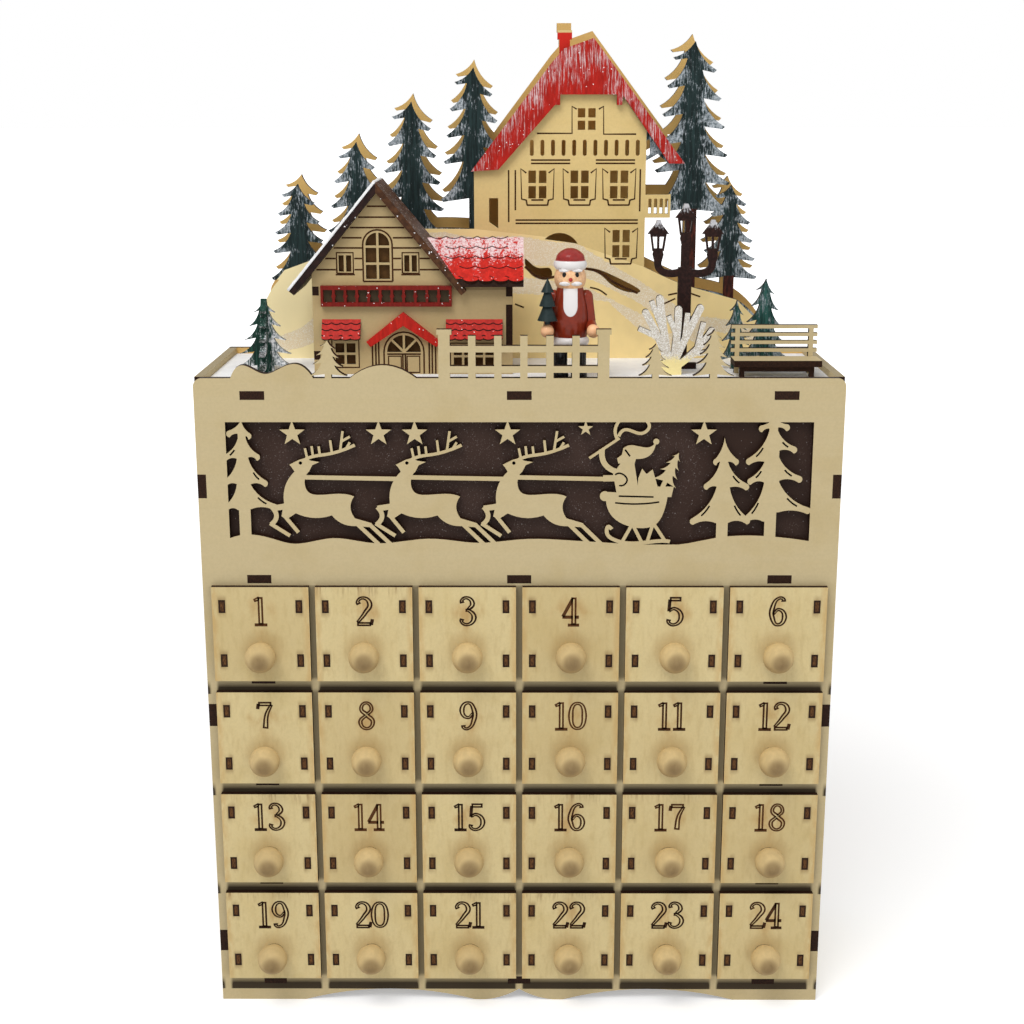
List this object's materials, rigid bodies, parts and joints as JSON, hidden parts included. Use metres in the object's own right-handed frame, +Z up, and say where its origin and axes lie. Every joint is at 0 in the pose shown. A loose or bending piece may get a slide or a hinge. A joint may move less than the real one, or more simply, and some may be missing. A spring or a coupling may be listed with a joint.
{
  "type": "wooden advent calendar",
  "caption": "Plywood advent calendar: numbered drawers under a fretted light box, with a winter village of painted plywood houses, firs and a turned figure on its top.",
  "frame": {"origin": "middle of the footprint, drawer knobs included, on the surface that the case stands on", "axes": "+Z up, drawers pull out along -Y, +X to the right as seen from the front"},
  "size_m": [0.3, 0.1212, 0.4784],
  "materials": {
    "case_plywood": "bare laser-cut plywood with burnt edges",
    "drawer_plywood": "bare pale plywood with burnt edges and numbers",
    "chalet_plywood": "bare laser-cut plywood with engraved lines",
    "hill_paint": "plywood, hill and firs painted, snow brushed on",
    "snow_white": "white painted board",
    "frost_white": "plywood with white frost",
    "dark_film": "dark translucent film",
    "red_paint": "red painted plywood",
    "brown_paint": "dark brown stained plywood",
    "dark_green_paint": "dark green painted plywood with snow",
    "black_paint": "gloss black paint on turned wood",
    "coat_paint": "red-brown paint on turned wood",
    "skin_paint": "pale paint on turned wood",
    "cap_paint": "red paint on turned wood with a white brim",
    "strip_white": "white strip with small lamps",
    "black_plastic": "moulded, fine texture",
    "cell_jacket": "plain printed jacket",
    "spring_steel": "plated spring steel"
  },
  "bodies": {
    "case": {"front_panel": "case_plywood", "back_panel": "case_plywood", "left_side": "case_plywood", "right_side": "case_plywood", "base_board": "case_plywood", "drawer_shelves": "case_plywood", "column_dividers": "case_plywood", "light_box_floor": "case_plywood", "top_deck": "case_plywood", "snow_sheet": "snow_white", "window_film": "dark_film", "led_strip": "strip_white", "battery_box": "black_plastic", "batteries": "cell_jacket", "battery_contacts": "spring_steel", "scene_panel": "hill_paint", "tall_house_roof": "red_paint", "chalet_front": "chalet_plywood", "chalet_side_walls": "chalet_plywood", "chalet_roof_boards": "brown_paint", "chalet_wing_roof": "red_paint", "chalet_porch_roofs": "red_paint", "chalet_balcony": "red_paint", "figure_legs": "black_paint", "figure_coat": "coat_paint", "figure_arms": "coat_paint", "figure_head": "skin_paint", "figure_cap": "cap_paint", "figure_fir": "dark_green_paint", "frosted_bush": "frost_white", "street_lamp": "brown_paint", "bench": "chalet_plywood", "left_fir": "dark_green_paint", "right_firs": "dark_green_paint"},
    "drawer_01": {"drawer_01": "drawer_plywood"},
    "drawer_02": {"drawer_02": "drawer_plywood"},
    "drawer_03": {"drawer_03": "drawer_plywood"},
    "drawer_04": {"drawer_04": "drawer_plywood"},
    "drawer_05": {"drawer_05": "drawer_plywood"},
    "drawer_06": {"drawer_06": "drawer_plywood"},
    "drawer_07": {"drawer_07": "drawer_plywood"},
    "drawer_08": {"drawer_08": "drawer_plywood"},
    "drawer_09": {"drawer_09": "drawer_plywood"},
    "drawer_10": {"drawer_10": "drawer_plywood"},
    "drawer_11": {"drawer_11": "drawer_plywood"},
    "drawer_12": {"drawer_12": "drawer_plywood"},
    "drawer_13": {"drawer_13": "drawer_plywood"},
    "drawer_14": {"drawer_14": "drawer_plywood"},
    "drawer_15": {"drawer_15": "drawer_plywood"},
    "drawer_16": {"drawer_16": "drawer_plywood"},
    "drawer_17": {"drawer_17": "drawer_plywood"},
    "drawer_18": {"drawer_18": "drawer_plywood"},
    "drawer_19": {"drawer_19": "drawer_plywood"},
    "drawer_20": {"drawer_20": "drawer_plywood"},
    "drawer_21": {"drawer_21": "drawer_plywood"},
    "drawer_22": {"drawer_22": "drawer_plywood"},
    "drawer_23": {"drawer_23": "drawer_plywood"},
    "drawer_24": {"drawer_24": "drawer_plywood"},
    "battery_lid": {"battery_lid": "black_plastic"},
    "power_switch": {"power_switch": "black_plastic"}
  },
  "joints": [
    {"name": "drawer_01_slide", "type": "slide", "parent": "case", "child": "drawer_01", "axis": [0, -1, 0], "range_m": [0, 0.08]},
    {"name": "drawer_02_slide", "type": "slide", "parent": "case", "child": "drawer_02", "axis": [0, -1, 0], "range_m": [0, 0.08]},
    {"name": "drawer_03_slide", "type": "slide", "parent": "case", "child": "drawer_03", "axis": [0, -1, 0], "range_m": [0, 0.08]},
    {"name": "drawer_04_slide", "type": "slide", "parent": "case", "child": "drawer_04", "axis": [0, -1, 0], "range_m": [0, 0.08]},
    {"name": "drawer_05_slide", "type": "slide", "parent": "case", "child": "drawer_05", "axis": [0, -1, 0], "range_m": [0, 0.08]},
    {"name": "drawer_06_slide", "type": "slide", "parent": "case", "child": "drawer_06", "axis": [0, -1, 0], "range_m": [0, 0.08]},
    {"name": "drawer_07_slide", "type": "slide", "parent": "case", "child": "drawer_07", "axis": [0, -1, 0], "range_m": [0, 0.08]},
    {"name": "drawer_08_slide", "type": "slide", "parent": "case", "child": "drawer_08", "axis": [0, -1, 0], "range_m": [0, 0.08]},
    {"name": "drawer_09_slide", "type": "slide", "parent": "case", "child": "drawer_09", "axis": [0, -1, 0], "range_m": [0, 0.08]},
    {"name": "drawer_10_slide", "type": "slide", "parent": "case", "child": "drawer_10", "axis": [0, -1, 0], "range_m": [0, 0.08]},
    {"name": "drawer_11_slide", "type": "slide", "parent": "case", "child": "drawer_11", "axis": [0, -1, 0], "range_m": [0, 0.08]},
    {"name": "drawer_12_slide", "type": "slide", "parent": "case", "child": "drawer_12", "axis": [0, -1, 0], "range_m": [0, 0.08]},
    {"name": "drawer_13_slide", "type": "slide", "parent": "case", "child": "drawer_13", "axis": [0, -1, 0], "range_m": [0, 0.08]},
    {"name": "drawer_14_slide", "type": "slide", "parent": "case", "child": "drawer_14", "axis": [0, -1, 0], "range_m": [0, 0.08]},
    {"name": "drawer_15_slide", "type": "slide", "parent": "case", "child": "drawer_15", "axis": [0, -1, 0], "range_m": [0, 0.08]},
    {"name": "drawer_16_slide", "type": "slide", "parent": "case", "child": "drawer_16", "axis": [0, -1, 0], "range_m": [0, 0.08]},
    {"name": "drawer_17_slide", "type": "slide", "parent": "case", "child": "drawer_17", "axis": [0, -1, 0], "range_m": [0, 0.08]},
    {"name": "drawer_18_slide", "type": "slide", "parent": "case", "child": "drawer_18", "axis": [0, -1, 0], "range_m": [0, 0.08]},
    {"name": "drawer_19_slide", "type": "slide", "parent": "case", "child": "drawer_19", "axis": [0, -1, 0], "range_m": [0, 0.08]},
    {"name": "drawer_20_slide", "type": "slide", "parent": "case", "child": "drawer_20", "axis": [0, -1, 0], "range_m": [0, 0.08]},
    {"name": "drawer_21_slide", "type": "slide", "parent": "case", "child": "drawer_21", "axis": [0, -1, 0], "range_m": [0, 0.08]},
    {"name": "drawer_22_slide", "type": "slide", "parent": "case", "child": "drawer_22", "axis": [0, -1, 0], "range_m": [0, 0.08]},
    {"name": "drawer_23_slide", "type": "slide", "parent": "case", "child": "drawer_23", "axis": [0, -1, 0], "range_m": [0, 0.08]},
    {"name": "drawer_24_slide", "type": "slide", "parent": "case", "child": "drawer_24", "axis": [0, -1, 0], "range_m": [0, 0.08]},
    {"name": "battery_lid_slide", "type": "slide", "parent": "case", "child": "battery_lid", "axis": [1, 0, 0], "range_m": [0, 0.05]},
    {"name": "power_switch_slide", "type": "slide", "parent": "case", "child": "power_switch", "axis": [1, 0, 0], "range_m": [0, 0.003]}
  ]
}
